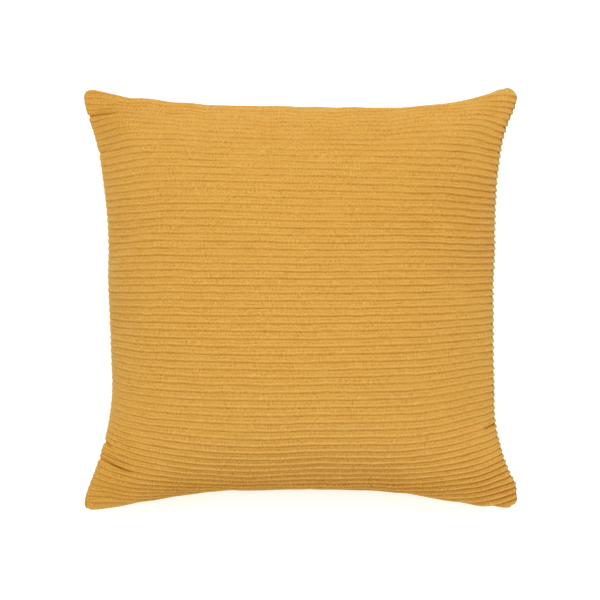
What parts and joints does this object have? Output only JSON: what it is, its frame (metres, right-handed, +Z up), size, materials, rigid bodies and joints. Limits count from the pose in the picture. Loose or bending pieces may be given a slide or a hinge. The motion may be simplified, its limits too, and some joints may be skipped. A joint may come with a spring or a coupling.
{
  "type": "filled cushion cover",
  "caption": "Square filled cushion cover in ribbed mustard cloth, plump in the middle, with drawn-in sides and pointed corners.",
  "frame": {"origin": "middle of the footprint, on the surface that the back lies on", "axes": "+Z up, out of the face; +X along the ribs, to the right seen from the face; +Y across the ribs, to the top of the face"},
  "size_m": [0.4282, 0.4188, 0.1429],
  "materials": {
    "ribbed_cloth": "matt mustard cotton cloth with raised ribs from side to side"
  },
  "bodies": {
    "root": {"cushion": "ribbed_cloth"}
  },
  "joints": []
}
